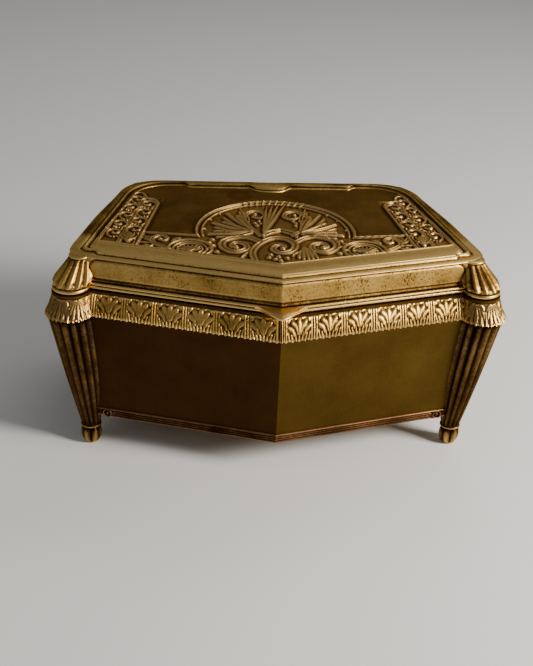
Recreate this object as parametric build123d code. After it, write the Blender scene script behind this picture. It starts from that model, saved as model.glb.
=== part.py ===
from build123d import *
import math
import os

# Gilt-brass trinket casket: a pentagonal box with a pointed front (the prow), four
# fluted corner legs, a hinged lid with a thumb lip, and a padded fabric lining.
# Millimetres. Origin: bottom centre of the whole box. The prow faces -Y, +Z is up.

# Plan of the lid bead. Every level of the box is an offset of this pentagon.
PROW_Y = -57.3
FRONT_CORNER = (88.9, -31.8)
BACK_CORNER = (69.5, 57.2)
PLAN = [(0.0, PROW_Y), FRONT_CORNER, BACK_CORNER, (-BACK_CORNER[0], BACK_CORNER[1]),
        (-FRONT_CORNER[0], FRONT_CORNER[1])]
PANEL_NAMES = ["front_right", "right", "back", "left", "front_left"]

# Corners with a leg and a bell: row, and whether on the right
CORNERS = [("front", False), ("front", True), ("back", False), ("back", True)]

# Heights
FOOT_TOP_Z = 9.3
ANKLE_Z = 10.3
BASE_LOW_Z = 16.7
BASE_HIGH_Z = 21.1
FRIEZE_LOW_Z = 72.8
FRIEZE_HIGH_Z = 81.4
RIM_TOP_Z = 82.6
LID_LOW_Z = 83.2
LID_MOULDING_TOP_Z = 86.3
FASCIA_TOP_Z = 97.2
FIELD_Z = 97.6
BEAD_Z = 98.6
MARGIN_Z = 98.2
FLOOR_LOW_Z = 17.0
LINING_TOP_Z = 80.0

# Outward offsets from the plan: the two prow panels, then the sides and the back
WALL_LOW = (7.3, 2.3)
WALL_HIGH = (12.2, 7.2)
RIM_OFFSET = 8.0
FRIEZE_HIGH = (7.8, 7.8)
LID_MOULDING = 8.0
FASCIA_LOW = 6.2
FASCIA_HIGH = 5.0
BAND_EDGE = 4.6
BEAD_HALF = 0.7

# Thicknesses and gaps
WALL = 2.2
MOULDING_PROUD = 0.8
MOULDING_WALL = 3.0
LID_WALL = 2.4
LID_TOP = 2.2
FLOOR = 1.5
FLOOR_GAP = 0.1
LINING = 1.0
LINING_GAP = 0.1
PAD = 3.8
PAD_GAP = 0.4
LID_PAD = 3.0
LID_PAD_GAP = 1.2
MARGIN = 10.8
OVERSHOOT = 1.0

# Legs: centre and radius at the top of the flutes, at the ankle and at the capital
LEG_TOP_RADIUS = 10.8
ANKLE_RADIUS = 4.4
CAPITAL_RADIUS = 8.4
LEG_TOP = {"front": (94.5, -41.8), "back": (74.5, 61.7)}
ANKLE = {"front": (87.7, -37.3), "back": (69.0, 57.7)}
CAPITAL_TOP = {"front": (93.6, -39.8), "back": (73.7, 60.2)}
BELL_TOP = {"front": (89.6, -34.2), "back": (69.9, 57.4)}
BELL_LOW_RADIUS = 8.8
BELL_WAIST_RADIUS = 8.4
BELL_TOP_RADIUS = 6.2
FLUTES = 12
FLUTE_DEPTH = 0.09
FOOT_RADIUS = 4.75
FOOT_NECK_RADIUS = 3.6
FOOT_BASE_RADIUS = 2.5
FOOT_WIDEST_Z = 6.5
RING_RADIUS = 4.7

# Thumb lip at the prow
LIP_HALF_WIDTH = 10.0
LIP_WAIST = 0.65
LIP_FRONT_Y = -72.5
LIP_ROOT = 3.0
LIP_SEAT = 0.6
LIP_LOW_Z = 84.0
LIP_THICK = 2.4

# Hinge on the back edge
HINGE_Y = 68.0
HINGE_Z = 82.9
KNUCKLE_RADIUS = 2.4
PIN_RADIUS = 1.2
PIN_CLEARANCE = 0.05
HINGE_LENGTH = 86.0
KNUCKLES = 5
KNUCKLE_GAP = 0.4
TAB_THICK = 1.3
TAB_GAP = 0.4
BODY_TAB_LOW_Z = 76.5
PIN_HEAD = 1.0
PIN_HEAD_RADIUS = 1.9


def edge_line(index, offset):
    """Outward normal and distance of one side of the plan, moved out by offset."""
    x0, y0 = PLAN[index]
    x1, y1 = PLAN[(index + 1) % 5]
    length = math.hypot(x1 - x0, y1 - y0)
    normal = ((y1 - y0) / length, -(x1 - x0) / length)
    return normal, normal[0] * x0 + normal[1] * y0 + offset


def outline(front, side=None):
    """The five mitred corners of the plan with its prow and its sides moved out."""
    side = front if side is None else side
    offsets = [front, side, side, side, front]
    corners = []
    for index in range(5):
        (ax, ay), a = edge_line(index - 1, offsets[index - 1])
        (bx, by), b = edge_line(index, offsets[index])
        det = ax * by - ay * bx
        corners.append(((a * by - b * ay) / det, (ax * b - bx * a) / det))
    return corners


def ring_wire(points, z):
    return Wire.make_polygon([(x, y, z) for x, y in points], close=True)


def frustum(low, low_z, high, high_z):
    """Solid between two outlines; low and high are (front, side) offsets."""
    return Solid.make_loft([ring_wire(outline(*low), low_z), ring_wire(outline(*high), high_z)], True)


def shrink(offsets, amount):
    return tuple(value - amount for value in offsets)


def panel(index, low, low_z, high, high_z, thickness):
    """One side of the pentagon as a plate with mitred ends."""
    rings = []
    for offsets, z in ((low, low_z), (high, high_z)):
        outer = outline(*offsets)
        inner = outline(*shrink(offsets, thickness))
        after = (index + 1) % 5
        rings.append(ring_wire([outer[index], outer[after], inner[after], inner[index]], z))
    return Solid.make_loft(rings, True)


def circle_wire(centre, radius, z):
    return Wire.make_circle(radius, Plane((centre[0], centre[1], z)))


def lean_cone(low_centre, low_radius, low_z, high_centre, high_radius, high_z):
    return Solid.make_loft([circle_wire(low_centre, low_radius, low_z),
                            circle_wire(high_centre, high_radius, high_z)], True)


def fluted_wire(centre, radius, z):
    """Ring of shallow arcs that bulge outward, one for each flute."""
    edges = []
    for flute in range(FLUTES):
        points = []
        for part, reach in ((0.0, 1.0 - FLUTE_DEPTH), (0.5, 1.0), (1.0, 1.0 - FLUTE_DEPTH)):
            angle = 2 * math.pi * (flute + part) / FLUTES
            points.append((centre[0] + radius * reach * math.cos(angle),
                           centre[1] + radius * reach * math.sin(angle), z))
        edges.append(Edge.make_three_point_arc(*points))
    return Wire(edges)


def foot(centre):
    """Bud foot with its ring, turned about its own axis."""
    with BuildPart() as turned:
        with BuildSketch(Plane.XZ):
            with BuildLine():
                Line((0, 0), (FOOT_BASE_RADIUS, 0))
                ThreePointArc((FOOT_BASE_RADIUS, 0), (FOOT_RADIUS, FOOT_WIDEST_Z),
                              (FOOT_NECK_RADIUS, FOOT_TOP_Z))
                Line((FOOT_NECK_RADIUS, FOOT_TOP_Z), (RING_RADIUS, FOOT_TOP_Z))
                Line((RING_RADIUS, FOOT_TOP_Z), (RING_RADIUS, ANKLE_Z))
                Line((RING_RADIUS, ANKLE_Z), (0, ANKLE_Z))
                Line((0, ANKLE_Z), (0, 0))
            make_face()
        revolve(axis=Axis.Z)
    return turned.part.moved(Location((centre[0], centre[1], 0)))


def side_of(points, right):
    return points if right else (-points[0], points[1])


def leg_envelope(row, right):
    """Plain outer shape of the shaft and capital, which the panels are cut to."""
    ankle = side_of(ANKLE[row], right)
    top = side_of(LEG_TOP[row], right)
    crown = side_of(CAPITAL_TOP[row], right)
    shaft = lean_cone(ankle, ANKLE_RADIUS, ANKLE_Z, top, LEG_TOP_RADIUS, FRIEZE_LOW_Z)
    capital = lean_cone(top, LEG_TOP_RADIUS, FRIEZE_LOW_Z, crown, CAPITAL_RADIUS, FRIEZE_HIGH_Z)
    return shaft + capital


def leg(row, right, cavity):
    ankle = side_of(ANKLE[row], right)
    top = side_of(LEG_TOP[row], right)
    crown = side_of(CAPITAL_TOP[row], right)
    shaft = Solid.make_loft([fluted_wire(ankle, ANKLE_RADIUS, ANKLE_Z),
                             fluted_wire(top, LEG_TOP_RADIUS, FRIEZE_LOW_Z)], True)
    capital = lean_cone(top, LEG_TOP_RADIUS, FRIEZE_LOW_Z, crown, CAPITAL_RADIUS, FRIEZE_HIGH_Z)
    return (shaft + capital - cavity) + foot(ankle)


def bell(row, right):
    """Leaning bell at a corner of the lid, standing over its leg."""
    low = side_of(CAPITAL_TOP[row], right)
    high = side_of(BELL_TOP[row], right)
    rim = Pos(low[0], low[1], (LID_LOW_Z + LID_MOULDING_TOP_Z) / 2) * Cylinder(
        BELL_LOW_RADIUS, LID_MOULDING_TOP_Z - LID_LOW_Z)
    flare = lean_cone(low, BELL_WAIST_RADIUS, LID_MOULDING_TOP_Z, high, BELL_TOP_RADIUS, FASCIA_TOP_Z)
    return rim + flare


def cavity_solid():
    """Inside of the box between the walls, from the floor plate up through the rim."""
    middle_z = (BASE_LOW_Z + BASE_HIGH_Z) / 2
    shaft = frustum(shrink(WALL_LOW, WALL), middle_z, shrink(WALL_LOW, WALL), BASE_HIGH_Z)
    walls = frustum(shrink(WALL_LOW, WALL), BASE_HIGH_Z, shrink(WALL_HIGH, WALL), FRIEZE_LOW_Z)
    frieze = frustum(shrink(WALL_HIGH, WALL), FRIEZE_LOW_Z, shrink(FRIEZE_HIGH, WALL), FRIEZE_HIGH_Z)
    rim = frustum(shrink(FRIEZE_HIGH, WALL), FRIEZE_HIGH_Z, shrink(FRIEZE_HIGH, WALL), RIM_TOP_Z + OVERSHOOT)
    return shaft + walls + frieze + rim


def lid_shell(bells):
    flat = (LID_MOULDING, LID_MOULDING)
    fascia_low = (FASCIA_LOW, FASCIA_LOW)
    fascia_high = (FASCIA_HIGH, FASCIA_HIGH)
    edge = (BAND_EDGE, BAND_EDGE)
    bead_out = (BEAD_HALF, BEAD_HALF)
    outside = frustum(flat, LID_LOW_Z, flat, LID_MOULDING_TOP_Z)
    outside += frustum(fascia_low, LID_MOULDING_TOP_Z, fascia_high, FASCIA_TOP_Z)
    outside += frustum(fascia_high, FASCIA_TOP_Z, edge, FIELD_Z)
    outside += frustum(edge, FIELD_Z, bead_out, BEAD_Z)
    inside_low = shrink(fascia_low, LID_WALL)
    inside_high = shrink(fascia_high, LID_WALL)
    inside = frustum(inside_low, LID_LOW_Z, inside_high, FIELD_Z - LID_TOP)
    bead_in = (-BEAD_HALF, -BEAD_HALF)
    field_edge = (-MARGIN, -MARGIN)
    margin = frustum(bead_in, MARGIN_Z, bead_in, BEAD_Z + OVERSHOOT)
    field = frustum(field_edge, FIELD_Z, field_edge, BEAD_Z + OVERSHOOT)
    shell = outside - inside - margin - field
    for piece in bells:
        shell -= piece
    return shell


def thumb_lip(shell):
    """Ogee tongue under the prow of the lid."""
    prow_y = outline(LID_MOULDING)[0][1]
    waist_x = LIP_WAIST * LIP_HALF_WIDTH
    waist_y = (prow_y + LIP_FRONT_Y) / 2
    back_y = prow_y + LIP_ROOT
    seat_y = prow_y + LIP_SEAT
    with BuildPart() as tongue:
        with BuildSketch(Plane.XY.offset(LIP_LOW_Z)):
            with BuildLine():
                Spline((-LIP_HALF_WIDTH, back_y), (-waist_x, waist_y), (0, LIP_FRONT_Y),
                       (waist_x, waist_y), (LIP_HALF_WIDTH, back_y))
                Line((LIP_HALF_WIDTH, back_y), (0, seat_y))
                Line((0, seat_y), (-LIP_HALF_WIDTH, back_y))
            make_face()
        extrude(amount=LIP_THICK)
    return tongue.part - shell


def knuckle_spans():
    pitch = HINGE_LENGTH / KNUCKLES
    for index in range(KNUCKLES):
        centre = (index - (KNUCKLES - 1) / 2) * pitch
        yield index, centre, pitch - KNUCKLE_GAP


def knuckle(centre, length, low_z, high_z, back_y):
    """Hinge barrel with the tab that solders it to the back of a rim."""
    barrel = Pos(centre, HINGE_Y, HINGE_Z) * Rot(0, 90, 0) * Cylinder(KNUCKLE_RADIUS, length)
    tab = Pos(centre, back_y + TAB_THICK / 2, (low_z + high_z) / 2) * Box(length, TAB_THICK, high_z - low_z)
    bore_radius = PIN_RADIUS + PIN_CLEARANCE
    bore = Pos(centre, HINGE_Y, HINGE_Z) * Rot(0, 90, 0) * Cylinder(bore_radius, length + OVERSHOOT)
    return barrel + tab - bore


def hinge_pin():
    pin = Pos(0, HINGE_Y, HINGE_Z) * Rot(0, 90, 0) * Cylinder(PIN_RADIUS, HINGE_LENGTH + 2 * PIN_HEAD)
    for sign in (-1, 1):
        place = Pos(sign * (HINGE_LENGTH + PIN_HEAD) / 2, HINGE_Y, HINGE_Z)
        pin += place * Rot(0, 90, 0) * Cylinder(PIN_HEAD_RADIUS, PIN_HEAD)
    return pin


def lining_walls():
    """Fabric-covered card standing against the walls, from the floor pad to the rim."""
    low = shrink(WALL_LOW, WALL + LINING_GAP)
    high = shrink(FRIEZE_HIGH, WALL + LINING_GAP)
    sheet = frustum(low, BASE_HIGH_Z, high, LINING_TOP_Z)
    inner_low = shrink(low, LINING)
    inner_high = shrink(high, LINING)
    inside = frustum(inner_low, BASE_HIGH_Z - OVERSHOOT, inner_high, LINING_TOP_Z + OVERSHOOT)
    return sheet - inside


def body_rim(cavity):
    """Flat rim under the lid, cut off behind the hinge line so the lid's corners swing past it."""
    offsets = (RIM_OFFSET, RIM_OFFSET)
    rim = frustum(offsets, FRIEZE_HIGH_Z, offsets, RIM_TOP_Z)
    for row, right in CORNERS:
        centre = side_of(CAPITAL_TOP[row], right)
        rim += Pos(centre[0], centre[1], (FRIEZE_HIGH_Z + RIM_TOP_Z) / 2) * Cylinder(
            BELL_LOW_RADIUS, RIM_TOP_Z - FRIEZE_HIGH_Z)
    behind = Pos(0, HINGE_Y + BELL_LOW_RADIUS / 2, RIM_TOP_Z) * Box(
        4 * BACK_CORNER[0], BELL_LOW_RADIUS, 4 * (RIM_TOP_Z - FRIEZE_HIGH_Z))
    return rim - cavity - behind


def trim(piece, cutters):
    """Cuts a panel to the legs and keeps the part between them."""
    for cutter in cutters:
        piece -= cutter
    return max(piece.solids(), key=lambda solid: solid.volume)


def save(shape, name):
    export_step(shape, os.path.join("parts", name + ".step"))


def corner_name(row, right):
    return f"{row}_right" if right else f"{row}_left"


def save_body():
    envelopes = [leg_envelope(row, right) for row, right in CORNERS]
    cavity = cavity_solid()
    for row, right in CORNERS:
        save(leg(row, right, cavity), "leg_" + corner_name(row, right))
    save(body_rim(cavity), "body_rim")

    base_low = tuple(value + MOULDING_PROUD for value in WALL_LOW)
    for index, name in enumerate(PANEL_NAMES):
        wall = panel(index, WALL_LOW, BASE_HIGH_Z, WALL_HIGH, FRIEZE_LOW_Z, WALL)
        frieze = panel(index, WALL_HIGH, FRIEZE_LOW_Z, FRIEZE_HIGH, FRIEZE_HIGH_Z, WALL)
        moulding = panel(index, base_low, BASE_LOW_Z, base_low, BASE_HIGH_Z, MOULDING_WALL)
        save(trim(wall, envelopes), "wall_" + name)
        save(trim(frieze, envelopes), "frieze_" + name)
        save(trim(moulding, envelopes), "base_moulding_" + name)

    floor_offsets = shrink(base_low, MOULDING_WALL + FLOOR_GAP)
    floor = frustum(floor_offsets, FLOOR_LOW_Z, floor_offsets, FLOOR_LOW_Z + FLOOR)
    save(trim(floor, envelopes), "floor_plate")
    pad_offsets = shrink(floor_offsets, LINING + PAD_GAP)
    pad_low_z = FLOOR_LOW_Z + FLOOR + LINING_GAP
    pad = frustum(pad_offsets, pad_low_z, pad_offsets, pad_low_z + PAD)
    save(trim(pad, envelopes), "lining_floor_pad")
    save(lining_walls(), "lining_walls")


def save_lid():
    bells = [bell(row, right) for row, right in CORNERS]
    shell = lid_shell(bells)
    save(shell, "lid_shell")
    save(thumb_lip(shell), "thumb_lip")

    inside_low = shrink((FASCIA_LOW, FASCIA_LOW), LID_WALL)
    inside_high = shrink((FASCIA_HIGH, FASCIA_HIGH), LID_WALL)
    inside = frustum(inside_low, LID_LOW_Z, inside_high, FIELD_Z - LID_TOP)
    for (row, right), piece in zip(CORNERS, bells):
        save(piece - inside, "lid_corner_" + corner_name(row, right))

    pad_offset = FASCIA_HIGH - LID_WALL - LID_PAD_GAP
    pad_top_z = FIELD_Z - LID_TOP - LINING_GAP
    pad = frustum((pad_offset,), pad_top_z - LID_PAD, (pad_offset,), pad_top_z)
    save(trim(pad, bells), "lid_lining_pad")


def save_hinge():
    back_y = BACK_CORNER[1] + RIM_OFFSET
    body_knuckles = []
    lid_knuckles = []
    for index, centre, length in knuckle_spans():
        if index % 2 == 0:
            body_knuckles.append(knuckle(centre, length, BODY_TAB_LOW_Z, HINGE_Z - TAB_GAP, back_y))
        else:
            lid_knuckles.append(knuckle(centre, length, HINGE_Z + TAB_GAP, LID_MOULDING_TOP_Z, back_y))
    save(Compound(children=body_knuckles), "hinge_knuckles_body")
    save(Compound(children=lid_knuckles), "hinge_knuckles_lid")
    save(hinge_pin(), "hinge_pin")


os.makedirs("parts", exist_ok=True)
save_body()
save_lid()
save_hinge()
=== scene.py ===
import math

import bmesh
import bpy
import numpy as np
from mathutils import Matrix, Vector


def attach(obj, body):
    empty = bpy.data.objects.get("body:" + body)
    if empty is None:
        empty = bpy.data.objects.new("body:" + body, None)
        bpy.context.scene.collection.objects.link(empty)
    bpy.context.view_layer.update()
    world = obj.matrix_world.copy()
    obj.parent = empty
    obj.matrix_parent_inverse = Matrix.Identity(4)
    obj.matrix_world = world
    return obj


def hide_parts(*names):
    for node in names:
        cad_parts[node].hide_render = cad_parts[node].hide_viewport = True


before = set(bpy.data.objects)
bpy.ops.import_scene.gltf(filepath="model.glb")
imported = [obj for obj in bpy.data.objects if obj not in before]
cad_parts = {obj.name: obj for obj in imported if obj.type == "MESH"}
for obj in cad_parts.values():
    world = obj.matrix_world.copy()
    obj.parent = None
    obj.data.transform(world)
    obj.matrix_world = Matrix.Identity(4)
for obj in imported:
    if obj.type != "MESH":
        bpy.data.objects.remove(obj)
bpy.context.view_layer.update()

MM = 0.001

# Plan of the lid bead, in millimetres, as in the CAD: prow, front right, back right and so on round.
PROW_Y = -57.3
FRONT_CORNER = (88.9, -31.8)
BACK_CORNER = (69.5, 57.2)
PLAN = np.array([(0.0, PROW_Y), FRONT_CORNER, BACK_CORNER, (-BACK_CORNER[0], BACK_CORNER[1]),
                 (-FRONT_CORNER[0], FRONT_CORNER[1])])
PANEL_NAMES = ["front_right", "right", "back", "left", "front_left"]
FRONT_EDGES = (0, 4)
BACK_EDGE = 2
PROW_SLOPE = (FRONT_CORNER[1] - PROW_Y) / FRONT_CORNER[0]

# Walls outside the plan, as (front, side), at their foot and under the frieze.
WALL_LOW = (7.3, 2.3)
WALL_HIGH = (12.2, 7.2)
WALL = 2.2
BASE_LOW_Z = 16.7
BASE_HIGH_Z = 21.1
FRIEZE_LOW_Z = 72.8
FRIEZE_HIGH_Z = 81.4
LID_LOW_Z = 83.2
FIELD_Z = 97.5
LID_INSIDE_Z = 95.4
FASCIA_INSIDE = 3.2
RIM_INSIDE = 5.6

# Centres of the corner castings on the right; the left ones are mirrored.
LEG_TOP = {"front": (94.5, -41.8), "back": (74.5, 61.7)}
ANKLE = {"front": (87.7, -37.3), "back": (69.0, 57.7)}
CAPITAL_TOP = {"front": (93.6, -39.8), "back": (73.7, 60.2)}
BELL_TOP = {"front": (89.6, -34.2), "back": (69.9, 57.4)}
LEG_TOP_RADIUS = 10.8
ANKLE_RADIUS = 4.4
CAPITAL_RADIUS = 8.4
FULL_TURN = 2 * math.pi
CORNERS = [("front", "left", -1), ("front", "right", 1), ("back", "left", -1), ("back", "right", 1)]


# ---------------------------------------------------------------- plan geometry

def edge_frame(index):
    """Start, direction, outward normal and length of one side of the plan."""
    start = PLAN[index]
    along = PLAN[(index + 1) % 5] - start
    length = float(np.hypot(*along))
    along = along / length
    return start, along, np.array([along[1], -along[0]]), length


def outline(front, side=None, back=None):
    """The five mitred corners with the prow, the sides and the back moved out."""
    side = front if side is None else side
    back = side if back is None else back
    offsets = [front, side, back, side, front]
    corners = []
    for index in range(5):
        normals, distances = [], []
        for edge in ((index - 1) % 5, index):
            start, _, normal, _ = edge_frame(edge)
            normals.append(normal)
            distances.append(normal @ start + offsets[edge])
        corners.append(np.linalg.solve(np.array(normals), np.array(distances)))
    return np.array(corners)


def along_side(corners, index, share):
    """Points along one side of an outline, share from 0 at its start to 1."""
    start, end = corners[index], corners[(index + 1) % 5]
    return start + (end - start) * share[:, None]


def corner_point(table, row, sign):
    """Centre of a corner casting, on the left (-1) or the right (1)."""
    x, y = table[row]
    return np.array([sign * x, y])


def prow_line(x, offset):
    """Y of the prow sides of the plan moved out by offset."""
    return PROW_Y - offset * math.hypot(1, PROW_SLOPE) + PROW_SLOPE * np.abs(x)


def prow_grid(across, back_share, front, side, back):
    """Grid over the offset plan: across from -1 to 1, back_share from 0 at the prow to 1."""
    _, _, normal, _ = edge_frame(1)
    limit = normal @ PLAN[1] + side
    back_y = PLAN[2][1] + back
    edge_y = np.zeros_like(back_share)
    for _ in range(12):
        edge_x = (limit - normal[1] * edge_y) / normal[0]
        edge_y = prow_line(edge_x, front) * (1 - back_share) + back_y * back_share
    x = across * edge_x
    return x, prow_line(x, front) * (1 - back_share) + back_y * back_share


def inside_depth(points, front, side):
    """How far each point lies inside the offset plan, and the normal of the nearest side."""
    depth = np.full(len(points), np.inf)
    nearest = np.zeros((len(points), 2))
    for edge, offset in enumerate([front, side, side, side, front]):
        start, _, normal, _ = edge_frame(edge)
        distance = normal @ start + offset - points[:, :2] @ normal
        closer = distance < depth
        depth[closer] = distance[closer]
        nearest[closer] = normal
    return depth, nearest


def smooth_step(value):
    value = np.clip(value, 0.0, 1.0)
    return value * value * (3 - 2 * value)


def curve_through(points, steps=9):
    """Smooth line through a few chosen points."""
    pts = np.asarray(points, float)
    if len(pts) < 3:
        t = np.linspace(0, 1, steps)[:, None]
        return pts[0] + (pts[-1] - pts[0]) * t
    padded = np.vstack([2 * pts[0] - pts[1], pts, 2 * pts[-1] - pts[-2]])
    line = []
    for i in range(len(pts) - 1):
        p0, p1, p2, p3 = padded[i:i + 4]
        for t in np.linspace(0, 1, steps, endpoint=False):
            line.append(0.5 * (2 * p1 + (p2 - p0) * t + (2 * p0 - 5 * p1 + 4 * p2 - p3) * t ** 2
                               + (3 * p1 - p0 - 3 * p2 + p3) * t ** 3))
    line.append(pts[-1])
    return np.array(line)


# ---------------------------------------------------------------- mesh helpers

def grid_faces(rows, cols, wrap_rows=False, wrap_cols=False):
    """Quads of a grid whose vertices run along its columns first."""
    r = np.arange(rows if wrap_rows else rows - 1)
    c = np.arange(cols if wrap_cols else cols - 1)
    r, c = np.meshgrid(r, c, indexing="ij")
    r2, c2 = (r + 1) % rows, (c + 1) % cols
    quads = np.stack([r * cols + c, r * cols + c2, r2 * cols + c2, r2 * cols + c], -1)
    return quads.reshape(-1, 4).tolist()


def mesh_object(name, points, faces, material, sharp_deg=None):
    """Smooth-shaded piece from points in millimetres, with edges kept sharp over an angle."""
    mesh = bpy.data.meshes.new(name)
    mesh.from_pydata((np.asarray(points, float) * MM).tolist(), [], faces)
    mesh.validate()
    piece = bpy.data.objects.new(name, mesh)
    bpy.context.scene.collection.objects.link(piece)
    mesh.materials.append(material)
    mesh.polygons.foreach_set("use_smooth", [True] * len(mesh.polygons))
    face_outward(mesh)
    if sharp_deg is not None:
        mesh.set_sharp_from_angle(angle=math.radians(sharp_deg))
    return piece


def closed_rings(name, rings, material):
    """Stack of rings with flat ends, as one closed mesh."""
    points = np.concatenate(rings)
    count = len(rings[0])
    faces = grid_faces(len(rings), count, wrap_cols=True)
    faces.append(list(range(count)))
    faces.append([len(points) - count + i for i in range(count)])
    return mesh_object(name, points, faces, material, sharp_deg=45)


def closed_strip(name, rows, material, sharp_deg):
    """Rows of points joined round into a bar with flat ends, as one closed mesh."""
    cols = len(rows[0])
    faces = grid_faces(len(rows), cols, wrap_rows=True)
    for end in (0, cols - 1):
        faces.append([row * cols + end for row in range(len(rows))])
    return mesh_object(name, np.concatenate(rows), faces, material, sharp_deg)


def closed_slab(name, x, y, z, base_z, material, sharp_deg=None):
    """Grid of points with straight sides down to a flat base, as one closed mesh."""
    rows, cols = x.shape
    top = np.stack([x, y, z], -1).reshape(-1, 3)
    rim = np.concatenate([np.arange(cols), np.arange(1, rows) * cols + cols - 1,
                          (rows - 1) * cols + np.arange(cols - 2, -1, -1), np.arange(rows - 2, 0, -1) * cols])
    base = top[rim].copy()
    base[:, 2] = base_z
    faces = grid_faces(rows, cols)
    first, count = len(top), len(rim)
    for i in range(count):
        j = (i + 1) % count
        faces.append([int(rim[i]), int(rim[j]), first + j, first + i])
    faces.append([first + i for i in range(count)])
    return mesh_object(name, np.vstack([top, base]), faces, material, sharp_deg)


def face_outward(mesh):
    work = bmesh.new()
    work.from_mesh(mesh)
    bmesh.ops.recalc_face_normals(work, faces=work.faces)
    work.to_mesh(mesh)
    work.free()


def mesh_arrays(mesh):
    """Points in millimetres, their normals, and the edges."""
    co = np.zeros(len(mesh.vertices) * 3)
    mesh.vertices.foreach_get("co", co)
    normal = np.zeros(len(mesh.vertices) * 3)
    mesh.vertices.foreach_get("normal", normal)
    edges = np.zeros(len(mesh.edges) * 2, int)
    mesh.edges.foreach_get("vertices", edges)
    return co.reshape(-1, 3) / MM, normal.reshape(-1, 3), edges.reshape(-1, 2)


def set_points(piece, points):
    piece.data.vertices.foreach_set("co", (points * MM).ravel())
    piece.data.update()


def neighbour_mean(values, edges, degree):
    total = np.zeros_like(values)
    np.add.at(total, edges[:, 0], values[edges[:, 1]])
    np.add.at(total, edges[:, 1], values[edges[:, 0]])
    return total / degree


def paint_wear(piece, gain=1.0, spread=3, reach=6):
    """Stores how worn each point is: high on ridges and edges, low in recesses."""
    co, normal, edges = mesh_arrays(piece.data)
    degree = np.maximum(np.bincount(edges.ravel(), minlength=len(co)), 1)[:, None].astype(float)
    blurred = co.copy()
    for _ in range(reach):
        blurred = neighbour_mean(blurred, edges, degree)
    height = ((co - blurred) * normal).sum(1)[:, None]
    for _ in range(spread):
        height = 0.5 * height + 0.5 * neighbour_mean(height, edges, degree)
    store_wear_and_light(piece, 0.5 + gain * height[:, 0])
    return piece


# Stores how worn each point is; on the lid frame the stored value also holds painted light and painted shade.
def store_wear_and_light(piece, values):
    attribute = piece.data.attributes.get("wear_and_light") or piece.data.attributes.new("wear_and_light", "FLOAT", "POINT")
    attribute.data.foreach_set("value", np.clip(values, 0.0, 1.0).astype(np.float32))


def read_wear_and_light(piece):
    """Points of a piece in millimetres, and how worn each of them is, with any painted light and shade."""
    wear_and_light = np.zeros(len(piece.data.vertices), np.float32)
    piece.data.attributes["wear_and_light"].data.foreach_get("value", wear_and_light)
    return mesh_arrays(piece.data)[0], wear_and_light


# ---------------------------------------------------------------- relief drawing

SCROLL_HEIGHT = 1.5
PETAL_WIDTHS = np.array([0.3, 0.55, 0.85, 1.0, 0.7])
SCROLL_WIDTHS = np.array([0.85, 1.0, 1.0, 0.8, 0.6])


class Relief:
    """Heights, in millimetres, over a set of plan points; strokes are laid on it."""

    def __init__(self, x, y):
        self.x = x
        self.y = y
        self.h = np.zeros_like(x)

    def stroke(self, points, widths, height, channel=False):
        """Round ridge along a line, its widths spread over the line, grooved if channel."""
        pts = np.asarray(points, float)
        widths = np.atleast_1d(widths)
        w = np.interp(np.linspace(0, 1, len(pts)), np.linspace(0, 1, len(widths)), widths)
        low, high = pts.min(0) - w.max(), pts.max(0) + w.max()
        hit = np.nonzero((self.x > low[0]) & (self.x < high[0]) & (self.y > low[1]) & (self.y < high[1]))
        if not len(hit[0]):
            return
        px, py = self.x[hit][:, None], self.y[hit][:, None]
        a, d = pts[:-1], np.diff(pts, axis=0)
        len2 = np.maximum((d ** 2).sum(1), 1e-9)
        t = np.clip(((px - a[:, 0]) * d[:, 0] + (py - a[:, 1]) * d[:, 1]) / len2, 0, 1)
        dx, dy = px - a[:, 0] - t * d[:, 0], py - a[:, 1] - t * d[:, 1]
        ratio = (np.hypot(dx, dy) / np.maximum(w[:-1] + t * (w[1:] - w[:-1]), 1e-6)).min(1)
        crown = np.sqrt(np.clip(1 - ratio ** 2, 0, 1))
        if channel:
            crown = crown * (1 - 0.62 * np.exp(-(ratio / 0.45) ** 2))
        self.h[hit] = np.maximum(self.h[hit], height * crown)

    def bead(self, centre, radius, height):
        d = np.hypot(self.x - centre[0], self.y - centre[1]) / radius
        self.h = np.maximum(self.h, height * np.sqrt(np.clip(1 - d ** 2, 0, 1)))

    def leaf(self, base, tip, widths, height, bend=0.0):
        """Stroke whose middle is moved aside by a share of its length."""
        base, tip = np.asarray(base, float), np.asarray(tip, float)
        aside = np.array([-(tip - base)[1], (tip - base)[0]])
        self.stroke(curve_through([base, (base + tip) / 2 + bend * aside, tip]), widths, height)

    def blade(self, base, tip, width, height):
        """Pointed leaf that is widest in its middle."""
        self.leaf(base, tip, (0.25 * width, 0.7 * width, width, 0.8 * width, 0.12), height)

    def petal(self, base, tip, width, height, bend=0.0):
        """Drop that is narrow at its base and rounded at its tip."""
        self.leaf(base, tip, width * PETAL_WIDTHS, height, bend)

    def wedge(self, base, tip, spread, width, height, fingers, bend=0.0):
        """Leaf made of petals that part towards the tip."""
        base, tip = np.asarray(base, float), np.asarray(tip, float)
        normal = np.array([-(tip - base)[1], (tip - base)[0]])
        normal = normal / max(np.hypot(*normal), 1e-6)
        for place in np.linspace(-1, 1, fingers):
            end = base + (tip - base) * (1.0 - 0.16 * place ** 2) + normal * spread * place
            root = base + 0.2 * normal * spread * place
            self.petal(root, end, width, height * (1 - 0.2 * place ** 2), bend + 0.05 * place)

    def arc(self, centre, radius, first_deg, last_deg, width, height):
        angle = np.radians(np.linspace(first_deg, last_deg, 48))
        line = np.stack([centre[0] + radius * np.cos(angle), centre[1] + radius * np.sin(angle)], -1)
        self.stroke(line, width, height)

    def volute(self, points, width, eye):
        """Grooved scroll with a bead at its inner end."""
        line = curve_through(points)
        self.stroke(line, width * SCROLL_WIDTHS, SCROLL_HEIGHT, channel=True)
        self.bead(line[-1], eye, SCROLL_HEIGHT)


def mirrored(points, sign):
    return [(sign * x, y) for x, y in points]


def ray(angle):
    return np.array([math.cos(angle), math.sin(angle)])


# ---------------------------------------------------------------- lid ornament

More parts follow.
